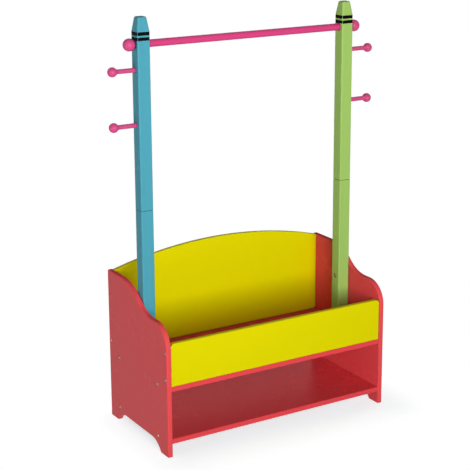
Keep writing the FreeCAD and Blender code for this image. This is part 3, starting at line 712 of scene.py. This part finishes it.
@dataclass
class Post:
    """One square post with two painted bands under its tapered tip.

    Each band is four strips, one to a flat, that run part of the way round the corners and
    leave a thin line of the post's colour between them. Sizes are in metres, and a band is
    given by the heights of its lower and upper edge.
    """

    paint: Paintbox
    side: Side
    finish: Lacquer
    axis: float = 0.334
    width: float = 0.038
    corner_round: float = 0.004
    corner_cover: float = 0.0027
    strip_rise: float = 0.00018
    strip_columns: int = 57
    strip_rows: int = 11
    end_power: int = 24
    edge_power: int = 6
    bands: dict[str, Range] = field(
        default_factory=lambda: {"upper": (1.1505, 1.1600), "lower": (1.1365, 1.1458)}
    )
    lengths: tuple[str, ...] = ("lower", "upper")

    def strip(self, low: float, high: float) -> tuple[np.ndarray, np.ndarray]:
        """Shape one painted strip on the post's front flat, seen about the post's axis.

        With s along the strip and t up it, both from -1 to 1 as the sine of even steps, the
        strip follows the flat and then the corner round, turning by the length past the flat
        over the round's radius. The paint's thickness is the rise times (1 - s to the end
        power) times (1 - t to the edge power), outwards, and the same again below the face,
        so that the strip closes along its own edge.

        Args:
            low: height of the strip's lower edge.
            high: height of its upper edge.
        Returns:
            Points and faces.
        """
        columns, rows = self.strip_columns, self.strip_rows
        s = np.sin(np.linspace(-0.5, 0.5, columns) * np.pi)[:, None] * np.ones((1, rows))
        t = np.ones((columns, 1)) * np.sin(np.linspace(-0.5, 0.5, rows) * np.pi)[None, :]
        swell = self.strip_rise * (1.0 - s**self.end_power) * (1.0 - t**self.edge_power)
        flat = 0.5 * self.width - self.corner_round
        along = s * (flat + self.corner_cover)
        on_flat = np.clip(along, -flat, flat)
        turn = (along - on_flat) / self.corner_round
        up = 0.5 * (low + high) + t * 0.5 * (high - low)

        def lifted(by: np.ndarray) -> np.ndarray:
            """Points of the strip at a height above the post's surface."""
            radius = self.corner_round + by
            x, y = on_flat + radius * np.sin(turn), -flat - radius * np.cos(turn)
            return np.stack([x, y, up], -1)

        front, back = lifted(swell), lifted(-swell)[1:-1, 1:-1]
        number = np.arange(columns * rows).reshape(columns, rows)
        under = number.copy()
        inside = under[1:-1, 1:-1].shape
        under[1:-1, 1:-1] = number.size + np.arange(math.prod(inside)).reshape(inside)
        points = np.concatenate([front.reshape(-1, 3), back.reshape(-1, 3)])
        return points, np.concatenate([quad_grid(number), quad_grid(under, flip=True)])

    def band(self, which: str) -> bpy.types.Object:
        """Make one band: the front strip turned to the four flats in quarter turns.

        Args:
            which: upper or lower.
        Returns:
            The band's object.
        """
        points, faces = self.strip(*self.bands[which])
        flats = np.arange(POST_FLATS)
        turns = flats * 2.0 * np.pi / POST_FLATS
        c, s = np.cos(turns)[:, None], np.sin(turns)[:, None]
        x = self.side.value * self.axis + c * points[:, 0] - s * points[:, 1]
        y = s * points[:, 0] + c * points[:, 1]
        z = np.broadcast_to(points[:, 2], x.shape)
        every = np.stack([x, y, z], -1).reshape(-1, 3)
        numbers = faces[None] + (flats * len(points))[:, None, None]
        name = f"{self.side.word}_post_{which}_band"
        return make_mesh(name, every, numbers.reshape(-1, FACE_CORNERS))

    def build(self) -> None:
        """Make both bands and fix them to the post."""
        for which in self.bands:
            piece = self.band(which)
            piece.data.materials.append(self.paint.of(BLACK))
            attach(piece, BODY)
            log.info("built %s", piece.name)

    def dress(self) -> None:
        """Lacquer the post's two lengths."""
        for length in self.lengths:
            self.paint.dress(f"{self.side.word}_post_{length}", self.finish)


@dataclass
class RailSet:
    """The pink rail between the posts with its end knobs, and the four round-headed pegs."""

    paint: Paintbox
    rail: str = "clothes_rail"
    ends: tuple[str, ...] = ("rail_knob", "upper_peg", "lower_peg")

    def dress(self) -> None:
        """Lacquer the rail, and then the knob and the pegs of each side, paler with painted sheen.
        """
        self.paint.dress(self.rail, PINK)
        for side in Side:
            for end in self.ends:
                self.paint.dress(f"{side.word}_{end}", PAINTED_SHEEN_PINK)


@dataclass
class Fixings:
    """Screws, studs, sleeves and dowels."""

    paint: Paintbox
    finishes: dict[str, Metal | RawWood] = field(
        default_factory=lambda: {
            "front_panel_screws": ZINC,
            "back_panel_screws": ZINC,
            "box_bottom_screws": ZINC,
            "shelf_screws": ZINC,
            "post_screws": ZINC,
            "rail_studs": STEEL,
            "peg_studs": STEEL,
            "post_joint_studs": STEEL,
            "rail_sleeves": BRASS,
            "post_joint_sleeves": BRASS,
            "back_panel_dowels": BEECH,
            "front_panel_dowels": BEECH,
            "post_base_dowels": BEECH,
        }
    )

    def dress(self) -> None:
        """Plate the metal and grain the dowels."""
        for node, finish in self.finishes.items():
            self.paint.dress(node, finish)


@dataclass(frozen=True)
class Lamp:
    """One soft square lamp, aimed at a point.

    Power is in watts, size in metres and spread in degrees. A lamp without glints lights the
    colours only and is not seen in reflections.
    """

    name: str
    place: Point
    aim: Point
    power: float
    size: float
    spread: float = 180.0
    glints: bool = True

    def build(self) -> None:
        """Hang the lamp and turn it to its aim."""
        data = bpy.data.lights.new(self.name, "AREA")
        data.shape = "SQUARE"
        data.size = self.size
        data.energy = self.power
        data.spread = math.radians(self.spread)
        made = bpy.data.objects.new(self.name, data)
        made.location = self.place
        line = Vector(self.aim) - Vector(self.place)
        made.rotation_euler = line.to_track_quat("-Z", "Y").to_euler()
        made.visible_glossy = self.glints
        bpy.context.scene.collection.objects.link(made)


@dataclass(frozen=True)
class Viewpoint:
    """Where the camera stands and how it is turned.

    The place and the limits of its sight are in metres and the turns in degrees. The focal
    length is in pixels of the frame, and the sensor's width in millimetres.
    """

    place: Point = (-1.98339, -3.21447, 1.63572)
    yaw: float = -31.13830
    pitch: float = 14.55436
    roll: float = -0.29958
    focal: float = 1350.0
    frame_width: float = 470.0
    sensor: float = 36.0
    shift: float = -0.08
    sight: Range = (0.05, 60.0)

    def build(self) -> None:
        """Set up the camera.

        Yaw turns the view about the upright from straight along Y, pitch lowers it and roll
        turns it about its own line.
        """
        yaw, pitch, roll = (math.radians(v) for v in (self.yaw, self.pitch, self.roll))
        level = np.array([-math.sin(yaw), math.cos(yaw), 0.0])
        side = np.array([math.cos(yaw), math.sin(yaw), 0.0])
        upright = np.array([0.0, 0.0, 1.0])
        ahead = level * math.cos(pitch) - upright * math.sin(pitch)
        up = upright * math.cos(pitch) + level * math.sin(pitch)
        right = side * math.cos(roll) + up * math.sin(roll)
        top = up * math.cos(roll) - side * math.sin(roll)
        data = bpy.data.cameras.new("camera")
        data.sensor_width = self.sensor
        data.lens = self.sensor * self.focal / self.frame_width
        data.shift_y = self.shift
        data.clip_start, data.clip_end = self.sight
        made = bpy.data.objects.new("camera", data)
        made.location = self.place
        made.rotation_euler = Matrix(np.stack([right, top, -ahead], 1).tolist()).to_euler()
        bpy.context.scene.collection.objects.link(made)
        bpy.context.scene.camera = made


@dataclass
class Studio:
    """White floor and surround, soft lamps and the camera.

    Inside a box about the object, given by the shade's middle and its half sizes in metres,
    the floor has its own tone. It turns to plain white over the lengths of the shade's fade.
    """

    floor_reach: float = 14.0
    floor_drop: float = 0.0004
    floor_rings: int = 40
    floor_spokes: int = 96
    first_ring: float = 0.02
    ring_power: int = 3
    floor_glow: float = 0.57
    # Cyan tint to the eye, which offsets the red light that the object bounces onto the floor.
    floor_tone: RGB = (0.72, 0.90, 0.94)
    floor_bounce: RGB = (0.4, 0.4, 0.4)
    shade_middle: Point = (0.02, -0.05, 0.0)
    shade_reach: Point = (0.345, 0.15, 0.01)
    shade_fade: Range = (0.0, 0.115)
    wall_light: float = 0.27
    ceiling_light: float = 0.05
    ceiling_range: Range = (0.0, 0.9)
    lamps: tuple[Lamp, ...] = (
        Lamp("key_lamp", (-1.1, -3.69, 1.22), (0.0, 0.0, 1.3), power=47.0, size=1.9, spread=90.0),
        Lamp("left_lamp", (-3.5, -0.4, 0.4), (0.0, 0.0, 0.6), power=25.5, size=1.0),
        Lamp("back_lamp", (0.0, 3.0, 0.1), (0.0, 0.0, 0.5), power=38.0, size=0.2, glints=False),
        Lamp("right_lamp", (3.2, 1.0, 0.35), (0.0, 0.0, 0.5), power=24.0, size=0.6, glints=False),
    )
    viewpoint: Viewpoint = Viewpoint()

    def floor(self) -> None:
        """Lay the floor.

        It is rings about the object, whose radius is the reach times the first parameter to
        the ring power. The second parameter is the turn, and its last column is the first.
        """
        first = np.linspace(self.first_ring, 1.0, self.floor_rings)[:, None]
        reach = first**self.ring_power * self.floor_reach
        turn = np.linspace(0.0, 2.0 * np.pi, self.floor_spokes, endpoint=False)[None, :]
        x, y = reach * np.cos(turn), reach * np.sin(turn)
        points = np.stack([x, y, np.full_like(x, -self.floor_drop)], -1).reshape(-1, 3)
        number = np.arange(x.size).reshape(x.shape)
        number = np.concatenate([number, number[:, :1]], 1)
        made = make_mesh("studio_floor", points, quad_grid(number))
        made.data.materials.append(self.floor_finish())

    def floor_finish(self) -> bpy.types.Material:
        """Make a floor that glows to the eye, keeps the object's shade and is white far off.

        Returns:
            The material.
        """
        material = bpy.data.materials.new("studio_white")
        material.use_nodes = True
        g = Graph(material.node_tree)
        eye = g.eye()
        across = g.vector("ABSOLUTE", g.vector("SUBTRACT", g.place(), self.shade_middle))
        clear = g.vector("MAXIMUM", g.vector("SUBTRACT", across, self.shade_reach))
        far = g.span(g.vector("LENGTH", clear, result="Value"), self.shade_fade)
        lit = g.math("MULTIPLY", eye, self.floor_glow)
        glow = g.node("ShaderNodeEmission", {"Color": WHITE, "Strength": lit})
        tone = g.blend(eye, self.floor_bounce, self.floor_tone)
        paint = g.node("ShaderNodeBsdfDiffuse", {"Color": tone})
        near = g.node("ShaderNodeAddShader", {0: glow.outputs[0], 1: paint.outputs[0]})
        white = g.node("ShaderNodeEmission", {"Color": WHITE, "Strength": 1.0})
        fade = {0: g.math("MULTIPLY", far, eye), 1: near.outputs[0], 2: white.outputs[0]}
        mixed = g.node("ShaderNodeMixShader", fade)
        g.node("ShaderNodeOutputMaterial", {"Surface": mixed.outputs[0]})
        return material

    def surround(self) -> None:
        """Hang white all round to the eye and in reflections, softer as light on the object."""
        world = bpy.data.worlds.new("studio_surround")
        world.use_nodes = True
        g = Graph(world.node_tree)
        rise = g.upright(g.node("ShaderNodeTexCoord").outputs["Generated"])
        light = g.span(rise, self.ceiling_range, (self.wall_light, self.ceiling_light))
        strength = g.level(g.eye(), light, 1.0)
        sky = g.node("ShaderNodeBackground", {"Color": WHITE, "Strength": strength})
        g.node("ShaderNodeOutputWorld", {"Surface": sky.outputs[0]})
        bpy.context.scene.world = world

    def build(self) -> None:
        """Set up floor, surround, lamps and camera, with plain colour handling."""
        self.floor()
        self.surround()
        for lamp in self.lamps:
            lamp.build()
        self.viewpoint.build()
        bpy.context.scene.view_settings.view_transform = "Standard"
        log.info("set up the studio")


def main() -> None:
    """Dress the frame, add the painted bands and set up the studio."""
    logging.basicConfig(level=logging.INFO, format="%(name)s: %(message)s")
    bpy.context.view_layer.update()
    paint = Paintbox()
    Cabinet(paint).dress()
    for side, finish in ((Side.LEFT, BLUE), (Side.RIGHT, GREEN)):
        post = Post(paint, side, finish)
        post.build()
        post.dress()
    RailSet(paint).dress()
    Fixings(paint).dress()
    Studio().build()


if __name__ == "__main__":
    main()
